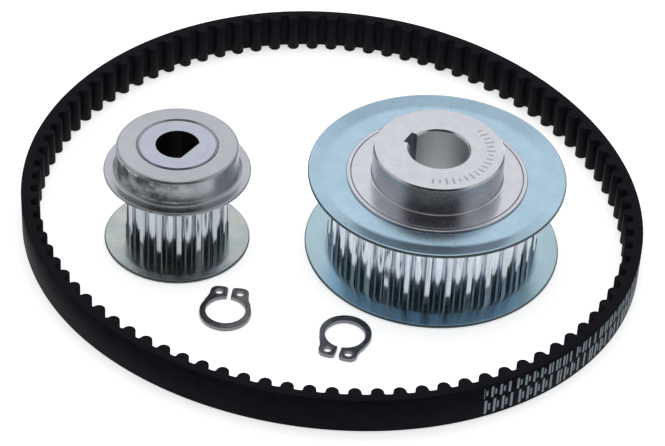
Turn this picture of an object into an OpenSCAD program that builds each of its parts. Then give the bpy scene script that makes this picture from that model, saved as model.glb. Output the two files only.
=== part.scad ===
// Belt-drive set of a door opener: a closed toothed belt, a small drive pulley with a
// D-shaped bore, a large driven pulley with a keyed bore, and the two external circlips
// that hold the pulleys on their shafts. The set lies loose on a flat surface at z = 0,
// with both pulleys standing on their lower flanges inside the belt's loop.

/* [Belt] */
// Distance from one belt tooth to the next, along the cords
belt_pitch = 5; // [4.8:0.1:5.2]
// Number of teeth round the belt
belt_teeth = 90; // [86:1:96]
// Width of the belt, which is its height as it stands on its edge
belt_w = 9.2; // [7:0.1:12]
// Depth of a belt tooth
belt_tooth_h = 2.06; // [1.9:0.02:2.2]
// Thickness of the belt's back, outside the teeth
belt_back_t = 2.2; // [1.8:0.05:2.6]
// Thickness of the nylon cloth that faces the teeth
facing_t = 0.2; // [0.15:0.01:0.22]
// Thickness of the tensile cords
cord_t = 0.55; // [0.4:0.05:0.6]
// Number of turns of tensile cord across the belt's width
cord_turns = 6; // [4:1:7]
// How far the lying belt swells and shrinks from a circle
belt_oval = 1.95; // [0:0.05:4]
// Direction of the lying belt's longer axis, in degrees
belt_oval_dir = -38.4; // [-90:0.1:90]
// How far three sides of the lying belt swell beyond that oval
belt_egg = 0.65; // [0:0.05:2]
// Direction of one of those three sides, in degrees
belt_egg_dir = -33.6; // [-60:0.1:60]
// Turn of the first tooth round the loop, in degrees
belt_phase = 3.1; // [0:0.1:4]

/* [Driven pulley] */
// Number of teeth on the driven pulley
driven_teeth = 32; // [32:1:40]
// Position of the driven pulley's axis across the belt's loop
driven_x = 24.3; // [20:0.1:28]
// Position of the driven pulley's axis along the belt's loop
driven_y = -7.7; // [-12:0.1:2]
// Radius of the driven pulley's flanges
driven_flange_r = 30.2; // [29:0.1:31]
// Width of the dished rim of the driven pulley's flanges
driven_dish_w = 4.1; // [3:0.1:5]
// How far the rim of the driven pulley's upper flange is bent away from the belt
driven_dish_h = 0.9; // [0.4:0.05:1.2]
// How far the rim of the driven pulley's lower flange is bent away from the belt
driven_low_dish_h = 0.55; // [0.4:0.05:1.2]
// Height of the driven pulley over both flanges
driven_w = 22; // [20:0.1:24]
// Height of the driven pulley over its hub
driven_h = 28.9; // [26:0.1:32]
// Radius of the driven pulley's hub
driven_hub_r = 15.3; // [14:0.05:17]
// Radius of the face that the hub stands on
driven_seat_r = 20; // [19:0.1:20]
// Radius of the lip that is rolled over each of the driven pulley's flanges
driven_lip_r = 21.2; // [21:0.1:22]
// Radius of the driven pulley's bore
driven_bore_r = 7; // [6:0.1:8]
// Width of the driven pulley's keyway
keyway_w = 4; // [3:0.1:5]
// Distance from the axis to the keyway's floor
keyway_r = 8.3; // [8.2:0.1:9.5]
// Direction of the keyway from the axis, in degrees
keyway_dir = 152.3; // [0:0.1:360]
// Turn of the driven pulley's first tooth gap, in degrees
driven_phase = 2.75; // [0:0.05:11.25]

/* [Drive pulley] */
// Number of teeth on the drive pulley
drive_teeth = 16; // [16:1:18]
// Position of the drive pulley's axis across the belt's loop
drive_x = -36.1; // [-40:0.1:-32]
// Position of the drive pulley's axis along the belt's loop
drive_y = -10; // [-14:0.1:0]
// Radius of the drive pulley's flanges
drive_flange_r = 17.2; // [16.5:0.1:18]
// Height of the drive pulley up to its upper flange
drive_w = 21.1; // [20:0.1:22]
// Height of the drive pulley over its collar
drive_h = 27.9; // [26:0.1:30]
// Radius of the drive pulley's collar
collar_r = 14.3; // [13:0.1:15.5]
// Radius of the core's nose, which shows inside the collar
nose_r = 9; // [8.5:0.1:9.5]
// Radius of the drive pulley's D-shaped bore
dbore_r = 5.1; // [4:0.1:6]
// Distance from the axis to the flat of the D-shaped bore
dbore_flat = 3.7; // [3:0.1:3.9]
// Direction that the flat lies in from the axis, in degrees
dbore_dir = -33.1; // [-180:0.1:180]
// Turn of the drive pulley's first tooth gap, in degrees
drive_phase = 17.8; // [0:0.05:22.5]

/* [Circlips] */
// Inner radius of a free circlip, for a 10 mm shaft
clip_r = 4.65; // [4.5:0.05:5]
// Thickness of a circlip
clip_t = 1; // [0.8:0.05:1.2]
// Width of the circlip's ring at its back, opposite the gap
clip_back_w = 1.7; // [1.6:0.05:2.2]
// Radius of the holes for circlip pliers
clip_hole_r = 1; // [0.75:0.05:1.1]
// Gap between the circlip's two lugs
clip_gap = 1; // [0.8:0.1:1.6]

/* [Hidden] */
$fn = 96;

// Belt: the cords lie on the pitch line, this far outside the bottoms of the gaps
pitch_line_gap = 0.57;
belt_tip_r = 1.49;
belt_root_r = 0.43;
cord_out = belt_back_t - pitch_line_gap - cord_t / 2;
cord_in = cord_out + cord_t;
cord_step = belt_w / cord_turns;
cord_w = 0.75 * cord_step;
pitch_loop_r = belt_pitch * belt_teeth / (2 * PI);
loop_r = pitch_loop_r + cord_out + cord_t / 2;
oval = belt_oval / loop_r;
egg = belt_egg / loop_r;
outer_steps = 2 * belt_teeth;
inner_steps = belt_teeth;

// Pulleys: their teeth, and the bend in their flanges
groove_r = 1.6;
groove_depth = 2.16;
groove_lip = 0.4;
flange_bend_r = 8;
driven_od_r = driven_teeth * belt_pitch / (2 * PI) - pitch_line_gap;
drive_od_r = drive_teeth * belt_pitch / (2 * PI) - pitch_line_gap;
edge_r = 0.3;

// Driven pulley
driven_sheet = 0.9;
driven_hole_r = 20.4;
driven_flat_low = driven_low_dish_h;
driven_flat_high = driven_w - driven_dish_h;
driven_seat_z = driven_flat_high + 0.5;
seat_groove_w = 0.3;
seat_groove_d = 0.45;
bore_chamfer = 0.45;
hub_chamfer = 0.4;
hub_fillet = 0.4;

// Drive pulley
drive_sheet = 0.9;
drive_dish_w = 2.2;
drive_dish_h = 0.25;
drive_spigot_r = 9;
drive_lip_r = 9.8;
drive_flange_t = 0.8;
collar_round_r = 0.9;
collar_fillet = 1.2;
joint_groove_w = 0.65;
joint_groove_d = 0.4;

// Circlips: where they lie, and which way their gaps point
drive_clip_at = [-22.9, -36.1, 0];
drive_clip_dir = 84.4;
driven_clip_at = [4.8, -42.2, 0];
driven_clip_dir = -103.7;
clip_side_w = 1.3;
lug_w = 4;
lug_reach = 7.9;
lug_corner = 1.7;
lug_hole_at = [2.45, 6.15];

belt_color = "#26282c";
zinc_color = "#b3c8da";
aluminium_color = "#c9c8cf";
steel_color = "#b9bac2";
clip_color = "#5a5a60";

// Points of an arc, both ends included
function arc(centre, r, from, to, steps) = [
    for (i = [0:steps]) let (a = from + (to - from) * i / steps)
        centre + r * [cos(a), sin(a)]
];

// A point of the belt as it was bent, s degrees along the loop and d millimetres inside
// its outer face. Equal steps in s are equal lengths of belt, although it isn't round.
function bent_point(s, d) =
    let (
        u = s - belt_oval_dir,
        v = s - belt_egg_dir,
        a = s - (oval / 2 * sin(2 * u) + egg / 3 * sin(3 * v)) * 180 / PI,
        p = a - belt_oval_dir,
        q = a - belt_egg_dir,
        r = loop_r * (1 + oval * cos(2 * p) + egg * cos(3 * q)),
        slope = atan(-2 * oval * sin(2 * p) - 3 * egg * sin(3 * q))
    )
    r * [cos(a), sin(a)] - d * [cos(a - slope), sin(a - slope)];

// Middle of the bent loop's own box, which is put on the origin
bent_x = [for (i = [0:359]) bent_point(i, 0).x];
bent_y = [for (i = [0:359]) bent_point(i, 0).y];
loop_mid = [max(bent_x) + min(bent_x), max(bent_y) + min(bent_y)] / 2;

function belt_point(s, d) = bent_point(s, d) - loop_mid;

// Closed smooth line round the belt, d millimetres inside its outer face
function belt_line(d, steps = inner_steps) = [
    for (i = [0:steps - 1]) belt_point(i * 360 / steps, d)
];

// One belt tooth, as [along, inwards] from the bottom of the gap beside it: a round
// tip between two root fillets. A positive grow moves the line out of the tooth.
function tooth_profile(grow, tip_steps) =
    let (
        tip = [0, belt_tooth_h - belt_tip_r],
        side = asin((belt_root_r - tip.y) / (belt_tip_r + belt_root_r)),
        root = [(belt_tip_r + belt_root_r) * cos(side), belt_root_r],
        half = concat(
            [for (i = [0:1]) arc(root, belt_root_r - grow, 270, 180 + side, 2)[i]],
            [for (i = [0:(tip_steps - 1) / 2])
                arc(tip, belt_tip_r + grow, side, 180 - side, tip_steps)[i]]
        )
    )
    concat(
        [for (p = half) [-p.x, p.y]],
        [for (i = [len(half) - 1:-1:0]) half[i]]
    );

// Closed toothed line round the belt
function toothed_line(grow, tip_steps) = [
    for (i = [0:belt_teeth - 1], p = tooth_profile(grow, tip_steps))
        belt_point(
            belt_phase + (i + p.x / belt_pitch) * 360 / belt_teeth,
            belt_back_t + p.y
        )
];

// Flat ring between two closed lines round the belt
module belt_layer(outer, inner, height) {
    linear_extrude(height)
        difference() {
            polygon(outer);
            polygon(inner);
        }
}

module belt_backing() {
    color(belt_color)
        belt_layer(belt_line(0, outer_steps), belt_line(cord_out), belt_w);
}

// The turns of tensile cord, side by side across the belt
module cord_rings() {
    for (i = [0:cord_turns - 1])
        translate([0, 0, (i + 0.5) * cord_step - cord_w / 2])
            children();
}

module belt_cords() {
    color("#5d5f5a")
        cord_rings()
            belt_layer(belt_line(cord_out), belt_line(cord_in), cord_w);
}

// Rubber of the teeth, with an open channel on its back for each turn of cord
module belt_tooth_rubber() {
    color(belt_color)
        difference() {
            belt_layer(belt_line(cord_out), toothed_line(-facing_t, 5), belt_w);
            cord_rings()
                belt_layer(belt_line(cord_out / 2), belt_line(cord_in), cord_w);
        }
}

module belt_tooth_facing() {
    color(belt_color)
        belt_layer(toothed_line(-facing_t, 5), toothed_line(0, 7), belt_w);
}

// Toothed body of a pulley: round-bottomed gaps with bevelled lips
module pulley_teeth(teeth, od_r, height, phase) {
    centre = od_r - groove_depth + groove_r;
    half_w = 0.985 * groove_r;
    linear_extrude(height)
        difference() {
            circle(od_r);
            for (i = [0:teeth - 1])
                rotate(phase + i * 360 / teeth) {
                    translate([centre, 0])
                        circle(groove_r);
                    polygon([
                        [centre, -half_w],
                        [od_r - groove_lip, -half_w],
                        [od_r + groove_lip, -half_w - 2 * groove_lip],
                        [od_r + groove_lip, half_w + 2 * groove_lip],
                        [od_r - groove_lip, half_w],
                        [centre, half_w]
                    ]);
                }
        }
}

// Pressed ring with its rim bent up by rise, lying with its flat part's underside at z = 0
module pressed_flange(hole_r, rim_r, dish_w, rise, sheet) {
    tilt = atan(rise / dish_w);
    edge = sheet / 2;
    end = [rim_r - edge, rise + edge];
    bend = [rim_r - dish_w - flange_bend_r * tan(tilt / 2), flange_bend_r];
    rotate_extrude()
        polygon(concat(
            [[hole_r, 0]],
            arc(bend, flange_bend_r, -90, tilt - 90, 5),
            arc(end, edge, tilt - 90, tilt + 90, 8),
            arc(bend, flange_bend_r - sheet, tilt - 90, -90, 5),
            [[hole_r, sheet]]
        ));
}

module at_driven() {
    translate([driven_x, driven_y, 0])
        children();
}

module driven_pulley_core() {
    color(aluminium_color)
        at_driven()
            difference() {
                union() {
                    translate([0, 0, driven_flat_low + driven_sheet])
                        pulley_teeth(
                            driven_teeth, driven_od_r,
                            driven_flat_high - driven_flat_low - 2 * driven_sheet,
                            driven_phase
                        );
                    rotate_extrude()
                        polygon(concat(
                            [[0, 0]],
                            arc([driven_lip_r - edge_r, edge_r], edge_r, -90, 0, 4),
                            [[driven_lip_r, driven_flat_low],
                             [driven_hole_r, driven_flat_low],
                             [driven_hole_r, driven_flat_high],
                             [driven_lip_r, driven_flat_high]],
                            arc([driven_lip_r - edge_r, driven_seat_z - edge_r],
                                edge_r, 0, 90, 4),
                            [[driven_seat_r + seat_groove_w, driven_seat_z],
                             [driven_seat_r + seat_groove_w / 2, driven_seat_z - seat_groove_d],
                             [driven_seat_r, driven_seat_z],
                             [driven_hub_r + hub_fillet, driven_seat_z]],
                            arc([driven_hub_r + hub_fillet, driven_seat_z + hub_fillet],
                                hub_fillet, -90, -180, 4),
                            [[driven_hub_r, driven_h - hub_chamfer],
                             [driven_hub_r - hub_chamfer, driven_h],
                             [0, driven_h]]
                        ));
                }
                translate([0, 0, -1])
                    cylinder(r = driven_bore_r, h = driven_h + 2);
                translate([0, 0, -0.01])
                    cylinder(r1 = driven_bore_r + bore_chamfer, r2 = driven_bore_r,
                             h = bore_chamfer + 0.01);
                translate([0, 0, driven_h - bore_chamfer])
                    cylinder(r1 = driven_bore_r, r2 = driven_bore_r + bore_chamfer,
                             h = bore_chamfer + 0.01);
                rotate(keyway_dir)
                    translate([0, -keyway_w / 2, -1])
                        cube([keyway_r, keyway_w, driven_h + 2]);
            }
}

module driven_upper_flange() {
    color(zinc_color)
        at_driven()
            translate([0, 0, driven_flat_high - driven_sheet])
                pressed_flange(driven_hole_r, driven_flange_r, driven_dish_w,
                               driven_dish_h, driven_sheet);
}

module driven_lower_flange() {
    color(zinc_color)
        at_driven()
            translate([0, 0, driven_flat_low + driven_sheet])
                mirror([0, 0, 1])
                    pressed_flange(driven_hole_r, driven_flange_r, driven_dish_w,
                                   driven_low_dish_h, driven_sheet);
}

module at_drive() {
    translate([drive_x, drive_y, 0])
        children();
}

module drive_pulley_core() {
    teeth_low = drive_dish_h + drive_sheet;
    teeth_high = drive_w - drive_flange_t;
    color(aluminium_color)
        at_drive()
            difference() {
                union() {
                    translate([0, 0, teeth_low])
                        pulley_teeth(drive_teeth, drive_od_r, teeth_high - teeth_low,
                                     drive_phase);
                    rotate_extrude()
                        polygon([
                            [0, 0],
                            [drive_lip_r - edge_r, 0],
                            [drive_lip_r, edge_r],
                            [drive_lip_r, drive_dish_h],
                            [drive_spigot_r, drive_dish_h],
                            [drive_spigot_r, teeth_low + 1],
                            [nose_r, teeth_low + 1],
                            [nose_r, drive_h - edge_r / 2],
                            [nose_r - edge_r / 2, drive_h],
                            [0, drive_h]
                        ]);
                }
                translate([0, 0, -1])
                    linear_extrude(drive_h + 2)
                        rotate(dbore_dir)
                            intersection() {
                                circle(dbore_r);
                                translate([-2 * dbore_r, -2 * dbore_r])
                                    square([2 * dbore_r + dbore_flat, 4 * dbore_r]);
                            }
            }
}

// Turned collar pressed on the core's nose, with the upper flange in one piece
module drive_pulley_collar() {
    flange_low = drive_w - drive_flange_t;
    rim = drive_flange_t / 2;
    color(steel_color)
        at_drive()
            rotate_extrude()
                polygon(concat(
                    [[nose_r, flange_low]],
                    arc([drive_flange_r - rim, flange_low + rim], rim, -90, 90, 8),
                    arc([collar_r + collar_fillet, drive_w + collar_fillet],
                        collar_fillet, -90, -180, 4),
                    arc([collar_r - collar_round_r, drive_h - collar_round_r],
                        collar_round_r, 0, 90, 6),
                    [[nose_r + joint_groove_w, drive_h],
                     [nose_r + joint_groove_w / 4, drive_h - joint_groove_d],
                     [nose_r, drive_h - joint_groove_d]]
                ));
}

module drive_lower_flange() {
    color(zinc_color)
        at_drive()
            translate([0, 0, drive_dish_h + drive_sheet])
                mirror([0, 0, 1])
                    pressed_flange(drive_spigot_r, drive_flange_r, drive_dish_w,
                                   drive_dish_h, drive_sheet);
}

// One lug of the circlip, on the +X side of a gap that points along +Y
module clip_lug() {
    low = clip_gap / 2;
    high = low + lug_w;
    difference() {
        polygon(concat(
            [[low, clip_r - 1]],
            [[high + 0.9, 2.6], [high + 0.35, 3.8], [high, 5.2]],
            arc([high - lug_corner, lug_reach - lug_corner], lug_corner, 0, 90, 5),
            arc([low + lug_corner / 2, lug_reach - lug_corner / 2], lug_corner / 2, 90, 180, 3)
        ));
        circle(clip_r);
        translate(lug_hole_at)
            circle(clip_hole_r);
    }
}

// External circlip lying flat, with its gap pointing along +Y
module circlip() {
    back = clip_r + clip_back_w;
    side = clip_r + clip_side_w;
    shift = (back * back - side * side) / (2 * back);
    linear_extrude(clip_t) {
        difference() {
            translate([0, -shift])
                circle(back - shift);
            circle(clip_r);
            translate([-clip_gap / 2, 0])
                square([clip_gap, 2 * clip_r]);
            for (x = [-1, 1])
                translate([x * lug_hole_at.x, lug_hole_at.y])
                    circle(clip_hole_r);
        }
        clip_lug();
        mirror([1, 0])
            clip_lug();
    }
}

module driven_circlip() {
    color(clip_color)
        translate(driven_clip_at)
            rotate(driven_clip_dir - 90)
                circlip();
}

module drive_circlip() {
    color(clip_color)
        translate(drive_clip_at)
            rotate(drive_clip_dir - 90)
                circlip();
}

belt_backing();
belt_cords();
belt_tooth_rubber();
belt_tooth_facing();
driven_pulley_core();
driven_upper_flange();
driven_lower_flange();
drive_pulley_core();
drive_pulley_collar();
drive_lower_flange();
driven_circlip();
drive_circlip();
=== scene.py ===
"""Looks of the belt-drive set: a closed toothed belt, two flanged pulleys and two circlips."""
import math
from collections import namedtuple

import bpy
from mathutils import Matrix, Vector


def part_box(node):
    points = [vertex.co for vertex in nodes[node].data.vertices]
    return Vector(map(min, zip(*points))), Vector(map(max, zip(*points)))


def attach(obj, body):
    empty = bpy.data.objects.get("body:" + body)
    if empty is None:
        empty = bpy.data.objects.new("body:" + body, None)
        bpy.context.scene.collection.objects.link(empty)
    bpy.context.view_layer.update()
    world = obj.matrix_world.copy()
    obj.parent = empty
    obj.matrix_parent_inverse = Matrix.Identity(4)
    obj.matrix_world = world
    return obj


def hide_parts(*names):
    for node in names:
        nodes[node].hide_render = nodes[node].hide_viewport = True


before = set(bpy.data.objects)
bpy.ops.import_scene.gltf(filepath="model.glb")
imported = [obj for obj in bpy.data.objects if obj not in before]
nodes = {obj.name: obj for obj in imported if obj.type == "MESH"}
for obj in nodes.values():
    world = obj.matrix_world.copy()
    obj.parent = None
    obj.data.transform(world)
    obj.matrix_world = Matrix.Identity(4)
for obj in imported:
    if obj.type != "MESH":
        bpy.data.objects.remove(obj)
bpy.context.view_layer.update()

MM = 0.001


def box_mm(node):
    """Lowest and highest corner of a CAD node, in millimetres."""
    low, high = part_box(node)
    return Vector(low) / MM, Vector(high) / MM


def axis_mm(node):
    """Where the upright axis of a round CAD node stands, in millimetres."""
    low, high = box_mm(node)
    return ((low.x + high.x) / 2, (low.y + high.y) / 2)


DRIVEN_AXIS = axis_mm("driven_upper_flange")
DRIVE_AXIS = axis_mm("drive_pulley_collar")

# ---------------------------------------------------------------- node helpers


class Nodes:
    """Adds shader nodes to a tree. Each call adds to it and returns the new output."""

    def __init__(self, tree):
        self.tree = tree

    def node(self, kind, values=(), **settings):
        made = self.tree.nodes.new("ShaderNode" + kind)
        for key, value in settings.items():
            setattr(made, key, value)
        for socket, value in dict(values).items():
            self.put(value, made.inputs[socket])
        return made

    def put(self, value, socket):
        if isinstance(value, bpy.types.NodeSocket):
            self.tree.links.new(value, socket)
        else:
            socket.default_value = value

    def math(self, operation, a, b=0.0, c=0.0):
        return self.node("Math", {0: a, 1: b, 2: c}, operation=operation).outputs[0]

    def times(self, a, b):
        return self.math("MULTIPLY", a, b)

    def times_plus(self, a, factor, added):
        return self.math("MULTIPLY_ADD", a, factor, added)

    def minus(self, a, b):
        return self.math("SUBTRACT", a, b)

    def parts(self, vector):
        out = self.node("SeparateXYZ", {0: vector}).outputs
        return out[0], out[1], out[2]

    def spread(self, value, low, high, to_low=0.0, to_high=1.0, smooth=False):
        """to_low at low, to_high at high, and in between them in between."""
        return self.node(
            "MapRange", {0: value, 1: low, 2: high, 3: to_low, 4: to_high},
            interpolation_type="SMOOTHSTEP" if smooth else "LINEAR",
        ).outputs[0]

    def within(self, value, low, high, soft):
        """1 between low and high, falling to 0 over soft on both sides."""
        return self.times(self.spread(value, low - soft, low + soft, smooth=True),
                          self.spread(value, high + soft, high - soft, smooth=True))

    def blend(self, share, a, b):
        """The number a where share is 0, and b where it is 1."""
        return self.node("Mix", {0: share, 2: a, 3: b}).outputs[0]

    def mix(self, share, a, b):
        """The colour a where share is 0, and b where it is 1."""
        made = self.node("Mix", data_type="RGBA")
        for value, socket in ((share, 0), (a, 6), (b, 7)):
            self.put(value, made.inputs[socket])
        return made.outputs[2]

    def random(self, cell):
        """One random number for each whole number."""
        return self.node("TexWhiteNoise", {"W": cell}, noise_dimensions="1D").outputs["Value"]


class Maps(Nodes):
    """A Principled material, with the nodes that vary over its piece."""

    def __init__(self, name, **plain):
        self.material = bpy.data.materials.new(name)
        self.material.use_nodes = True
        super().__init__(self.material.node_tree)
        self.shader = self.tree.nodes["Principled BSDF"]
        for key, value in plain.items():
            self.shader.inputs[key.replace("_", " ")].default_value = value
        self.mm = None

    def place(self):
        """The piece's own coordinates, in millimetres."""
        if self.mm is None:
            there = self.node("TexCoord").outputs["Object"]
            scaled = self.node("VectorMath", {0: there, 3: 1 / MM}, operation="SCALE")
            self.mm = scaled.outputs[0]
        return self.mm

    def levelness(self):
        """1 on level faces, and 0 on upright ones."""
        normal = self.node("NewGeometry").outputs["Normal"]
        return self.math("ABSOLUTE", self.parts(normal)[2])

    def round_place(self, axis):
        """Distance from an upright axis, angle round it in radians, and height."""
        x, y, z = self.parts(self.place())
        x = self.minus(x, axis[0])
        y = self.minus(y, axis[1])
        r = self.math("SQRT", self.times_plus(x, x, self.times(y, y)))
        return r, self.math("ARCTAN2", y, x), z

    def loop_place(self):
        """Angle round the middle of the belt in radians, and height."""
        x, y, z = self.parts(self.place())
        return self.math("ARCTAN2", y, x), z

    def noise(self, vector, scale, detail=3.0, rough=0.5):
        return self.node("TexNoise", {"Vector": vector, "Scale": scale, "Detail": detail,
                                      "Roughness": rough}).outputs[0]

    def stretched_noise(self, places, stretch, scale, detail, rough=0.5):
        """Noise over three places, each multiplied by its own stretch."""
        scaled = (self.times(value, factor) for value, factor in zip(places, stretch))
        vector = self.node("CombineXYZ", dict(enumerate(scaled))).outputs[0]
        return self.noise(vector, scale, detail, rough)

    def from_cells(self, scale):
        """Distance from the nearest of many scattered points."""
        return self.node("TexVoronoi", {"Vector": self.place(),
                                        "Scale": scale}).outputs["Distance"]

    def bump(self, height, distance, strength, under=None):
        """Normal of a relief. distance is its depth in millimetres."""
        values = {"Height": height, "Distance": distance * MM, "Strength": strength}
        if under is not None:
            values["Normal"] = under
        return self.node("Bump", values).outputs[0]

    def rounded(self, radius):
        """Normal with the sharp edges rounded, for the radius in millimetres."""
        return self.node("Bevel", {"Radius": radius * MM}, samples=6).outputs[0]

    def finish(self, color, roughness=None, normal=None):
        for value, socket in ((color, "Base Color"), (roughness, "Roughness"),
                              (normal, "Normal")):
            if value is not None:
                self.put(value, self.shader.inputs[socket])
        return self.material


def rgb(r, g, b):
    return (r, g, b, 1.0)


def darker(tone, factor):
    return rgb(*(channel * factor for channel in tone))


BLACK = rgb(0.0, 0.0, 0.0)
WHITE = rgb(1.0, 1.0, 1.0)


def dress(material, *pieces):
    """Gives the material to pieces, each an object or the name of a CAD node."""
    for name in pieces:
        piece = nodes[name] if isinstance(name, str) else name
        piece.data.materials.clear()
        piece.data.materials.append(material)


# --------------------------------------------------------------- turned metals
# Stain marks on the upright walls, kept to one side as painted shade, and the angle in
# # degrees where that side is darkest
StainsAndShade = namedtuple("StainsAndShade", "strength strongest")
# The toothed region, from the bottom of the gaps to the land, with its own look
Toothed = namedtuple("Toothed", "gap_r land_r bottom top dull tone")
Bore = namedtuple("Bore", "radius top dull tone")
# A row of strokes round the top face. half is half the longest stroke, angles in degrees
Strokes = namedtuple("Strokes", "top middle_r half start end count")

# How tool marks stretch: along (radius, height, angle) of a turned face, and along
# (angle, radius, height) of a toothed one
RING_STRETCH = (2.6, 2.6, 0.25)
FINE_RING_STRETCH = (9.0, 9.0, 0.6)
HOB_ANGLE = 14.0
HOB_STRETCH = (HOB_ANGLE, 3.0, 0.07)
CHATTER_STRETCH = (HOB_ANGLE, 3.0, 0.5)
STREAK_STRETCH = (HOB_ANGLE, 2.0, 0.03)
NICK_STRETCH = (HOB_ANGLE, 1.0, 0.22)

TURNED_EDGE_R = 0.12
TURNED_DEPTH = 0.014
TURNED_GRAIN_DEPTH = 0.0008
# Depth of the rings on level faces and on walls, as a share of TURNED_DEPTH
RINGS_ON_FLAT = 0.30
RINGS_ON_WALL = 0.10
# How far before the land its tone sets in and is full, and how dark it is there
LAND_EDGE = (0.3, 0.1)
LAND_SHADE = 0.88
# How far past the land the toothed look reaches, and how softly it ends
TOOTHED_REACH = 0.5
TOOTHED_SOFT = 0.05
STROKE_SHADE = 0.66
STROKE_DULL = 0.15
STROKE_DEPTH = -3.0


def turned_metal(name, axis, tone, dull, wall_dull, stains_and_shade, toothed=None, bore=None,
                 strokes=None):
    """Metal turned round an upright axis, duller on its upright walls, where stain marks and
    painted shade darken one side. In the toothed region its marks run up and down, as a hob
    leaves them."""
    m = Maps(name, Metallic=1.0, Anisotropic=0.6, Anisotropic_Rotation=0.25)
    r, angle, z = m.round_place(axis)
    wall = m.spread(m.levelness(), 0.8, 0.2)

    # Rings from the lathe over cloudy, grainy metal
    rings = m.stretched_noise((r, z, angle), RING_STRETCH, 1.0, 4.0, 0.65)
    fine = m.stretched_noise((r, z, angle), FINE_RING_STRETCH, 1.0, 2.0)
    marks = m.times_plus(fine, 0.5, rings)
    cloud = m.noise(m.place(), 0.35, 5.0, 0.6)
    grain = m.noise(m.place(), 3.0, 3.0)
    mottle = m.times_plus(grain, 0.4, cloud)
    shade = m.times(m.spread(mottle, 0.45, 0.95, 0.88, 1.0),
                    m.spread(marks, 0.45, 1.0, 0.92, 1.0))
    # Stain marks and painted shade darken one side of the upright walls
    shade = m.times(shade, m.minus(1.0, m.times(wall, stained_and_shaded(m, angle, stains_and_shade))))
    base_dull = m.spread(wall, 0.0, 1.0, dull, wall_dull)
    roughness = m.times_plus(mottle, 0.10, m.minus(base_dull, 0.07))
    depth = m.times(marks, m.spread(wall, 0.0, 1.0, RINGS_ON_FLAT, RINGS_ON_WALL))

    if toothed:
        where, hobbed, tooth_dull, tooth_color = hobbed_teeth(m, r, angle, z, toothed)
        depth = m.blend(where, depth, hobbed)
        roughness = m.blend(where, roughness, tooth_dull)
    if strokes:
        cut = engraved_strokes(m, r, angle, z, strokes)
        shade = m.times(shade, m.spread(cut, 0.0, 1.0, 1.0, STROKE_SHADE))
        roughness = m.times_plus(cut, STROKE_DULL, roughness)
        depth = m.times_plus(cut, STROKE_DEPTH, depth)
    color = m.mix(shade, BLACK, rgb(*tone))
    if toothed:
        color = m.mix(where, color, tooth_color)
    if bore:
        inside = m.times(m.spread(r, bore.radius, bore.radius - 0.1),
                         m.spread(z, bore.top, bore.top - 0.06))
        color = m.mix(inside, color, m.mix(shade, BLACK, rgb(*bore.tone)))
        roughness = m.blend(inside, roughness, m.times_plus(mottle, 0.1, bore.dull - 0.05))

    normal = m.bump(depth, TURNED_DEPTH, 0.5, m.rounded(TURNED_EDGE_R))
    normal = m.bump(grain, TURNED_GRAIN_DEPTH, 0.5, normal)
    return m.finish(color, roughness, normal)


def stained_and_shaded(m, angle, stains_and_shade):
    """Stain marks with painted shade, which keeps them to one side round the axis and darkens
    it.
    """
    stain = m.noise(m.place(), 0.28, 4.0, 0.62)
    # Painted shade: darkest towards the given angle round the axis
    shaded_side = m.math("COSINE", m.minus(angle, math.radians(stains_and_shade.strongest)))
    return m.times(m.spread(stain, 0.38, 0.60, 0.0, stains_and_shade.strength),
                   m.spread(shaded_side, -0.1, 0.8))


def hobbed_teeth(m, r, angle, z, toothed):
    """Where the toothed region is, and the relief, dullness and colour it has there."""
    where = m.times(
        m.within(r, toothed.gap_r, toothed.land_r + TOOTHED_REACH, TOOTHED_SOFT),
        m.within(z, toothed.bottom, toothed.top, TOOTHED_SOFT))
    places = (angle, r, z)
    hobbed = m.stretched_noise(places, HOB_STRETCH, 2.6, 5.0, 0.65)
    chatter = m.stretched_noise(places, CHATTER_STRETCH, 1.4, 3.0)
    streaks = m.stretched_noise(places, STREAK_STRETCH, 3.6, 5.0, 0.7)
    nicks = m.stretched_noise(places, NICK_STRETCH, 1.9, 5.0, 0.7)
    land_start, land_full = (toothed.land_r - before for before in LAND_EDGE)
    worn = m.times(m.spread(streaks, 0.36, 0.54, 0.70, 1.0),
                   m.spread(nicks, 0.64, 0.70, 1.0, 0.45))
    worn = m.times(worn, m.spread(r, land_start, land_full, 1.0, LAND_SHADE))
    return (where, m.times_plus(chatter, 0.5, hobbed),
            m.times_plus(chatter, 0.10, toothed.dull - 0.05),
            m.mix(worn, BLACK, rgb(*toothed.tone)))


def engraved_strokes(m, r, angle, z, strokes):
    """A row of plain strokes of several lengths, cut into the top face."""
    start, end = math.radians(strokes.start), math.radians(strokes.end)
    along = m.spread(angle, start, end, 0.0, strokes.count)
    pick = m.random(m.math("FLOOR", along))
    length = m.spread(pick, 0.0, 1.0, 0.45 * strokes.half, strokes.half)
    across = m.math("ABSOLUTE", m.minus(r, strokes.middle_r))
    stroke = m.within(m.math("FRACT", along), 0.32, 0.62, 0.06)
    reach = m.spread(m.minus(across, length), 0.1, -0.1, smooth=True)
    here = m.times(m.within(angle, start, end, 0.001),
                   m.spread(z, strokes.top - 0.2, strokes.top - 0.1))
    return m.times(m.times(stroke, reach), here)


# ------------------------------------------------------- plated and spring steel
SPECK_SHADE = 0.60
PIT_SHADE = 0.40
# Dark tone of the thin band at the flange's rim
RIM_BAND_TONE = rgb(0.11, 0.13, 0.13)


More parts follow.
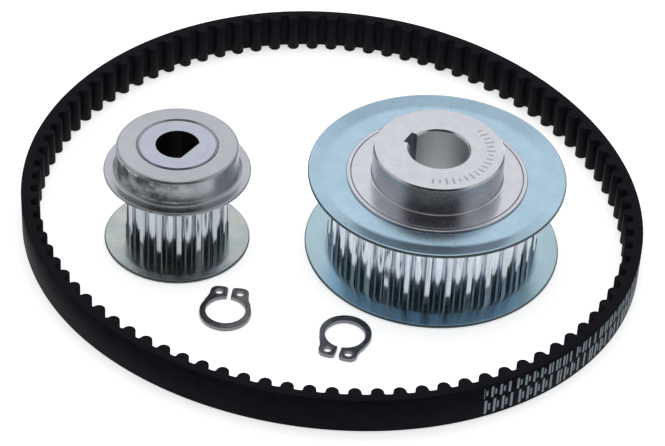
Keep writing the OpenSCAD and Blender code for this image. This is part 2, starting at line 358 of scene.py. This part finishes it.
def zinc_plate(name, axis, rim_r, tone, warm, dull):
    """Pressed steel sheet with a bright passivated zinc plating, darker and rougher in a thin
    band at its rim.
    """
    m = Maps(name, Metallic=1.0)
    r, angle, z = m.round_place(axis)
    cloud = m.noise(m.place(), 0.14, 6.0, 0.6)
    grain = m.noise(m.place(), 1.8, 5.0, 0.75)
    patch = m.spread(m.noise(m.place(), 0.12, 2.0), 0.50, 0.62)
    pitted = m.times(m.spread(m.from_cells(0.9), 0.17, 0.09), patch)
    # Darker and rougher in a thin band at the rim
    rim_band = m.spread(r, rim_r - 0.30, rim_r - 0.12, smooth=True)
    color = m.mix(m.spread(cloud, 0.35, 0.65), rgb(*tone), rgb(*warm))
    color = m.mix(m.spread(grain, 0.55, 0.80, 0.0, 0.45), color, darker(tone, SPECK_SHADE))
    color = m.mix(pitted, color, darker(tone, PIT_SHADE))
    color = m.mix(rim_band, color, RIM_BAND_TONE)
    roughness = m.times_plus(grain, 0.14, dull - 0.07)
    roughness = m.times_plus(rim_band, 0.20, roughness)
    drawn = m.stretched_noise((r, angle, z), (1.4, 1.2, 1.0), 1.0, 3.0)
    normal = m.bump(drawn, 0.006, 0.5, m.rounded(0.10))
    normal = m.bump(m.minus(grain, pitted), 0.003, 0.6, normal)
    return m.finish(color, roughness, normal)


def spring_steel(name):
    """Dark phosphated spring steel, its upright edges brighter from tumbling wear and from a
    painted highlight.
    """
    m = Maps(name, Metallic=1.0)
    grain = m.noise(m.place(), 5.0, 4.0, 0.7)
    cloud = m.noise(m.place(), 0.5, 3.0)
    flat = m.mix(m.spread(cloud, 0.35, 0.65), rgb(0.085, 0.085, 0.092), rgb(0.19, 0.19, 0.20))
    flat = m.mix(m.spread(grain, 0.55, 0.72, 0.0, 0.7), flat, rgb(0.38, 0.38, 0.40))
    # Upright edges: tumbling wear plus a painted highlight
    edge_wear_and_highlight = m.mix(m.spread(grain, 0.35, 0.65), rgb(0.12, 0.115, 0.13), rgb(0.32, 0.31, 0.34))
    color = m.mix(m.spread(m.levelness(), 0.3, 0.8), edge_wear_and_highlight, flat)
    roughness = m.times_plus(grain, 0.2, 0.26)
    normal = m.bump(grain, 0.012, 0.7, m.rounded(0.30))
    return m.finish(color, roughness, normal)


# -------------------------------------------------------------- belt materials
# The printed rows, with angles round the loop's middle and lengths in millimetres
PRINT_FROM = math.radians(-61.5)
PRINT_TO = math.radians(-14.0)
PRINT_RADIUS = 74.0
PRINT_PITCH = 2.15
PRINT_ROWS = ((0.75, 4.75), (5.4, 8.5))
PRINT_INK = rgb(0.26, 0.32, 0.36)
INK_SOFT = 0.10
BAR_SOFT = 0.05
# Edges of the two bars in each pitch, as shares of the pitch
WIDE_BAR = (0.14, 0.42)
THIN_BAR = (0.58, 0.78)
# How much of its row a short bar leaves free above and below
SHORT_MARGIN = 0.25
# Above the first share a thin bar is short, and below the second it is left out
THIN_BAR_SHORT = 0.55
THIN_BAR_GONE = 0.25
# What sets the second row's bars apart from the first's
ROW_SHIFT = 0.35
ROW_CELLS = 31.7

# Waves per radian along the belt, and per millimetre across it
WEFT_PER_MM = 14.0
WARP_PER_RADIAN = 880.0
TWIST_PER_RADIAN = 700.0
TWIST_PER_MM = 9.0
GRINDING_PER_RADIAN = 220.0


def printed(m, angle, z):
    """Two rows of plain bars of several widths and heights, in worn pale ink."""
    length = m.times(m.minus(angle, PRINT_FROM), PRINT_RADIUS / PRINT_PITCH)
    here = m.times(m.math("GREATER_THAN", angle, PRINT_FROM),
                   m.math("LESS_THAN", angle, PRINT_TO))
    rows = []
    for row, (low, high) in enumerate(PRINT_ROWS):
        shifted = m.math("ADD", length, ROW_SHIFT * row)
        across = m.math("FRACT", shifted)
        pick = m.random(m.math("ADD", m.math("FLOOR", shifted), ROW_CELLS * row + 0.5))
        margin = SHORT_MARGIN * (high - low)
        full = m.within(z, low, high, INK_SOFT)
        short = m.within(z, low + margin, high - margin, INK_SOFT)
        wide = m.times(m.within(across, *WIDE_BAR, BAR_SOFT), full)
        thin = m.times(m.within(across, *THIN_BAR, BAR_SOFT),
                       m.blend(m.math("GREATER_THAN", pick, THIN_BAR_SHORT), full, short))
        thin = m.times(thin, m.math("GREATER_THAN", pick, THIN_BAR_GONE))
        rows.append(m.math("MAXIMUM", wide, thin))
    ink = m.math("MAXIMUM", *rows)
    worn = m.spread(m.noise(m.place(), 3.0, 4.0, 0.7), 0.28, 0.50, 0.40, 0.95)
    return m.times(m.times(ink, here), worn)


def cut_rubber(name, with_print=False):
    """Belt rubber: ground across its back, and knife-cut on its two edges."""
    m = Maps(name, Specular_IOR_Level=0.02)
    angle, z = m.loop_place()
    grain = m.noise(m.place(), 6.0, 4.0, 0.7)
    cloud = m.noise(m.place(), 0.25, 3.0)
    ground = m.stretched_noise((angle, z), (GRINDING_PER_RADIAN, 1.0), 1.3, 2.0)
    cut = m.spread(m.levelness(), 0.7, 0.95)
    color = m.mix(m.spread(cloud, 0.35, 0.65), rgb(0.0040, 0.0040, 0.0072),
                  rgb(0.0064, 0.0064, 0.0106))
    color = m.mix(m.times(cut, m.spread(grain, 0.35, 0.75)), color,
                  rgb(0.0200, 0.0190, 0.0250))
    roughness = m.times_plus(grain, 0.25, 0.38)
    if with_print:
        ink = printed(m, angle, z)
        color = m.mix(ink, color, PRINT_INK)
        roughness = m.times_plus(ink, -0.05, roughness)
    normal = m.bump(m.times_plus(ground, 0.6, grain), 0.02, 0.5)
    return m.finish(color, roughness, normal)


def tooth_cloth(name):
    """Black nylon cloth moulded over the belt's teeth."""
    m = Maps(name, Specular_IOR_Level=0.05)
    angle, z = m.loop_place()
    weft = m.math("SINE", m.times(z, WEFT_PER_MM))
    warp = m.math("SINE", m.times(angle, WARP_PER_RADIAN))
    weave = m.times(weft, warp)
    grain = m.noise(m.place(), 5.0, 3.0)
    color = m.mix(m.spread(grain, 0.4, 0.7), rgb(0.0062, 0.0054, 0.0080),
                  rgb(0.0115, 0.0100, 0.0140))
    color = m.mix(m.spread(weave, 0.3, 1.0, 0.0, 0.5), color, rgb(0.018, 0.016, 0.020))
    roughness = m.times_plus(grain, 0.2, 0.45)
    normal = m.bump(m.times_plus(weave, 0.5, grain), 0.02, 0.5)
    return m.finish(color, roughness, normal)


def dipped_cord(name):
    """Twisted glass-fibre cord, dipped so that it bonds to the rubber."""
    m = Maps(name)
    angle, z = m.loop_place()
    twist = m.math("SINE", m.times_plus(angle, TWIST_PER_RADIAN, m.times(z, TWIST_PER_MM)))
    fibre = m.noise(m.place(), 8.0, 3.0)
    color = m.mix(m.spread(fibre, 0.35, 0.7), rgb(0.16, 0.14, 0.11), rgb(0.42, 0.39, 0.32))
    return m.finish(color, m.times_plus(fibre, 0.2, 0.45), m.bump(twist, 0.03, 0.6))


# --------------------------------------------------------------- the belt's line
# The belt's own dimensions, as in the CAD part, in millimetres and degrees
TEETH = 90
PITCH = 5.0
BACK = 2.2
FACING = 0.2
CORD_LINE = 0.57
CORD_T = 0.55
CORD_OUT = BACK - CORD_LINE - CORD_T / 2
OVAL = 1.95
OVAL_DIR = -38.4
EGG = 0.65
EGG_DIR = -33.6
PHASE = 3.1
TIP_R = 1.49
ROOT_R = 0.43
TOOTH_H = 2.06
EDGE = 0.12
LOOP_R = PITCH * TEETH / (2 * math.pi) + BACK - CORD_LINE
BELT_W = box_mm("belt_backing")[1].z

# Steps of the finer lines: along one pitch of the back, and along one tooth
BACK_STEPS = 12
TIP_STEPS = 12
ROOT_STEPS = 4
FLAT_STEPS = 2
# Edges sharper than this stay sharp
SHARP_FROM = math.radians(50)


def bent_point(s, d):
    """A point s degrees along the loop and d inside its outer face."""
    oval, egg = OVAL / LOOP_R, EGG / LOOP_R
    u, v = math.radians(s - OVAL_DIR), math.radians(s - EGG_DIR)
    a = math.radians(s) - oval / 2 * math.sin(2 * u) - egg / 3 * math.sin(3 * v)
    p, q = a - math.radians(OVAL_DIR), a - math.radians(EGG_DIR)
    r = LOOP_R * (1 + oval * math.cos(2 * p) + egg * math.cos(3 * q))
    slope = math.atan(-2 * oval * math.sin(2 * p) - 3 * egg * math.sin(3 * q))
    return Vector((r * math.cos(a) - d * math.cos(a - slope),
                   r * math.sin(a) - d * math.sin(a - slope)))


def loop_middle():
    """Middle of the loop's box, before it is moved to the origin."""
    around = [bent_point(i, 0) for i in range(360)]
    xs, ys = [p.x for p in around], [p.y for p in around]
    return Vector((max(xs) + min(xs), max(ys) + min(ys))) / 2


LOOP_MID = loop_middle()


def belt_point(s, d):
    return bent_point(s, d) - LOOP_MID


def belt_line(d):
    """The whole loop, d inside its outer face."""
    steps = BACK_STEPS * TEETH
    return [belt_point(i * 360 / steps, d) for i in range(steps)]


def tooth_profile(grow):
    """One tooth as (along, inwards): bottom of the gap, root fillets and round tip."""
    side = math.asin((ROOT_R - (TOOTH_H - TIP_R)) / (TIP_R + ROOT_R))
    root_x = (TIP_R + ROOT_R) * math.cos(side)
    half = [(-PITCH / 2 + (PITCH / 2 - root_x) * i / FLAT_STEPS, grow)
            for i in range(FLAT_STEPS)]
    for i in range(ROOT_STEPS):
        a = math.radians(-90) + (side - math.radians(-90)) * i / ROOT_STEPS
        half.append((-root_x + (ROOT_R - grow) * math.cos(a),
                     ROOT_R + (ROOT_R - grow) * math.sin(a)))
    tip = []
    for i in range(TIP_STEPS + 1):
        a = math.pi - side - (math.pi - 2 * side) * i / TIP_STEPS
        tip.append(((TIP_R + grow) * math.cos(a),
                    TOOTH_H - TIP_R + (TIP_R + grow) * math.sin(a)))
    return half + tip + [(-x, y) for x, y in reversed(half[1:])]


def toothed_line(grow):
    """The whole loop along its teeth, grown by grow beyond the cloth's outer face."""
    profile = tooth_profile(grow)
    return [belt_point(PHASE + (i + x / PITCH) * 360 / TEETH, BACK + y)
            for i in range(TEETH) for x, y in profile]


def ring_mesh(name, sections):
    """A closed ring. sections are (line, height) round its cross-section, and every line
    has the same number of points."""
    count = len(sections[0][0])
    verts = [Vector((p.x, p.y, z)) * MM for line, z in sections for p in line]
    faces = []
    for k in range(len(sections)):
        a, b = k * count, (k + 1) % len(sections) * count
        for i in range(count):
            j = (i + 1) % count
            faces.append((a + i, a + j, b + j, b + i))
    mesh = bpy.data.meshes.new(name)
    mesh.from_pydata([tuple(v) for v in verts], [], faces)
    mesh.validate()
    piece = bpy.data.objects.new(name, mesh)
    bpy.context.scene.collection.objects.link(piece)
    mesh.shade_smooth()
    mesh.set_sharp_from_angle(angle=SHARP_FROM)
    return piece


def belt_pieces():
    """The rubber back and the tooth cloth, with finer steps and softened edges."""
    outer, rim, inner = (belt_line(d) for d in (0, EDGE, CORD_OUT))
    back = ring_mesh("belt_back", [
        (outer, EDGE), (outer, BELT_W - EDGE), (rim, BELT_W), (inner, BELT_W),
        (inner, 0), (rim, 0)])
    face, lip, bond = (toothed_line(g) for g in (0, -EDGE, -FACING))
    cloth = ring_mesh("belt_cloth", [
        (bond, 0), (bond, BELT_W), (lip, BELT_W), (face, BELT_W - EDGE),
        (face, EDGE), (lip, 0)])
    return back, cloth


belt_back, belt_cloth = belt_pieces()
for piece, node, slot in ((belt_back, "belt_backing", "belt_rubber"),
                          (belt_cloth, "belt_tooth_facing", "belt_facing")):
    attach(piece, "belt")
    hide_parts(node)

dress(cut_rubber("belt_rubber_cut"), "belt_tooth_rubber")
dress(cut_rubber("belt_rubber_printed", with_print=True), belt_back)
dress(tooth_cloth("belt_nylon_cloth"), belt_cloth)
dress(dipped_cord("glass_cord"), "belt_cords")

# ------------------------------------------------------------- pulleys and clips
HUB_TOP = box_mm("driven_pulley_core")[1].z
DRIVE_TOP = box_mm("drive_pulley_core")[1].z
DRIVEN_FLANGE_R = 30.2
DRIVE_FLANGE_R = 17.2

dress(turned_metal(
    "aluminium_driven", DRIVEN_AXIS, tone=(0.69, 0.70, 0.76), dull=0.17, wall_dull=0.27,
    # Faint stain marks and painted shade darken the hub's wall towards its right
    stains_and_shade=StainsAndShade(strength=0.10, strongest=0),
    toothed=Toothed(gap_r=21.3, land_r=24.9, bottom=1.5, top=20.2, dull=0.12,
                    tone=(0.66, 0.72, 0.79)),
    bore=Bore(radius=7.2, top=HUB_TOP, dull=0.42, tone=(0.90, 0.92, 0.94)),
    strokes=Strokes(top=HUB_TOP, middle_r=12.1, half=1.15, start=-100, end=42, count=19),
), "driven_pulley_core")
dress(turned_metal(
    "steel_drive_core", DRIVE_AXIS, tone=(0.52, 0.545, 0.65), dull=0.18, wall_dull=0.27,
    stains_and_shade=StainsAndShade(strength=0.0, strongest=0),
    toothed=Toothed(gap_r=9.9, land_r=12.2, bottom=1.2, top=20.3, dull=0.12,
                    tone=(0.53, 0.57, 0.61)),
    # The drive bore's near-black tone is painted shade inside the bore
    bore=Bore(radius=5.3, top=DRIVE_TOP, dull=0.35, tone=(0.12, 0.11, 0.10)),
), "drive_pulley_core")
dress(turned_metal(
    "steel_drive_collar", DRIVE_AXIS, tone=(0.53, 0.55, 0.59), dull=0.26, wall_dull=0.34,
    # Stain marks and painted shade darken the collar's wall towards its left front
    stains_and_shade=StainsAndShade(strength=0.80, strongest=-145),
), "drive_pulley_collar")
dress(zinc_plate(
    "zinc_driven_upper", DRIVEN_AXIS, DRIVEN_FLANGE_R,
    tone=(0.395, 0.565, 0.69), warm=(0.45, 0.625, 0.755), dull=0.23,
), "driven_upper_flange")
dress(zinc_plate(
    "zinc_driven_lower", DRIVEN_AXIS, DRIVEN_FLANGE_R,
    tone=(0.40, 0.555, 0.62), warm=(0.43, 0.59, 0.69), dull=0.25,
), "driven_lower_flange")
dress(zinc_plate(
    "zinc_drive", DRIVE_AXIS, DRIVE_FLANGE_R,
    tone=(0.40, 0.475, 0.495), warm=(0.56, 0.565, 0.53), dull=0.25,
), "drive_lower_flange")
dress(spring_steel("phosphated_spring_steel"), "driven_circlip", "drive_circlip")

# ------------------------------------------------------------------ floor, light
FLOOR_HALF = 3.0
# Just under the set, so that the two never share a surface
FLOOR_Z = -0.00005
floor_mesh = bpy.data.meshes.new("studio_floor")
floor_mesh.from_pydata([(x * FLOOR_HALF, y * FLOOR_HALF, FLOOR_Z)
                        for x, y in ((-1, -1), (1, -1), (1, 1), (-1, 1))], [], [(0, 1, 2, 3)])
floor = bpy.data.objects.new("studio_floor", floor_mesh)
bpy.context.scene.collection.objects.link(floor)
pale = Maps("studio_pale", Roughness=0.9, Emission_Color=WHITE, Emission_Strength=0.56)
floor_mesh.materials.append(pale.finish(rgb(0.90, 0.90, 0.90)))

world = bpy.data.worlds.new("studio")
bpy.context.scene.world = world
world.use_nodes = True

# The room's light by direction. Azimuth is 0 in front and 180 behind, elevation is 0 at the
# floor and 90 overhead, both in degrees. Each step adds light from its first azimuth on,
# and all of it from its second.
FRONT_LIGHT = 0.02
AZIMUTH_STEPS = ((-42, -76, 0.58), (-128, -155, 0.42), (33, 66, 0.58), (122, 168, 0.40))
# The azimuth counts between these elevations. Below and above them every direction has at
# least ENDS_LIGHT.
MIDDLE_FROM = (14, 24)
MIDDLE_TO = (76, 62)
ENDS_LIGHT = 0.65
# Factors by elevation: (from, to, factor at from, factor at to)
ELEVATION_STEPS = ((42, 57, 1.0, 0.74), (68, 82, 1.0, 1.5), (13, 21, 0.28, 1.0))


def studio_light(tree):
    """Soft light from all sides: brightest behind at half height and right overhead, weaker
    in between and near the floor, with a dark stretch of room in front, where the camera
    stands."""
    m = Nodes(tree)

    def step(value, low, high, to_low=0.0, to_high=1.0):
        return m.spread(value, math.radians(low), math.radians(high), to_low, to_high,
                        smooth=True)

    x, y, z = m.parts(m.node("TexCoord").outputs["Generated"])
    elevation = m.math("ARCSINE", z)
    azimuth = m.math("ARCTAN2", x, m.times(y, -1.0))
    around = FRONT_LIGHT
    for start, full, light in AZIMUTH_STEPS:
        around = m.math("ADD", around, step(azimuth, start, full, 0.0, light))
    middle = m.times(step(elevation, *MIDDLE_FROM), step(elevation, *MIDDLE_TO))
    around = m.math("ADD", m.times(around, middle),
                    m.times(m.math("MAXIMUM", around, ENDS_LIGHT), m.minus(1.0, middle)))
    level = 1.0
    for factors in ELEVATION_STEPS:
        level = m.times(level, step(elevation, *factors))
    background = tree.nodes["Background"]
    m.put(m.times(level, around), background.inputs["Strength"])
    m.put(WHITE, background.inputs["Color"])


studio_light(world.node_tree)


def soft_box(name, place, size, power):
    """A square soft light that faces the object, and that metals don't mirror."""
    light = bpy.data.lights.new(name, "AREA")
    light.size = size
    light.energy = power
    made = bpy.data.objects.new(name, light)
    made.location = place
    made.rotation_euler = (-Vector(place)).to_track_quat("-Z", "Y").to_euler()
    bpy.context.scene.collection.objects.link(made)
    made.visible_glossy = False


soft_box("overhead", place=(0.0, 0.1, 1.3), size=1.4, power=7.0)

# ------------------------------------------------------------------------ camera
ELEVATION = math.radians(39.69)
ROLL = math.radians(3.08)
DISTANCE = 0.63196
LOOK_AT = Vector((0.000575, -0.001791, 0.0))
SIDEWAYS = Vector((1, 0, 0))
back_way = Vector((0, -math.cos(ELEVATION), math.sin(ELEVATION)))
level_up = Vector((0, math.sin(ELEVATION), math.cos(ELEVATION)))
right = SIDEWAYS * math.cos(ROLL) + level_up * math.sin(ROLL)
up = level_up * math.cos(ROLL) - SIDEWAYS * math.sin(ROLL)

camera_data = bpy.data.cameras.new("camera")
camera_data.sensor_width = 36.0
camera_data.lens = 142.6
camera_data.clip_start = 0.02
camera = bpy.data.objects.new("camera", camera_data)
turn = Matrix((right, up, back_way)).transposed().to_4x4()
camera.matrix_world = Matrix.Translation(LOOK_AT + back_way * DISTANCE) @ turn
bpy.context.scene.collection.objects.link(camera)
bpy.context.scene.camera = camera
bpy.context.scene.view_settings.view_transform = "Standard"
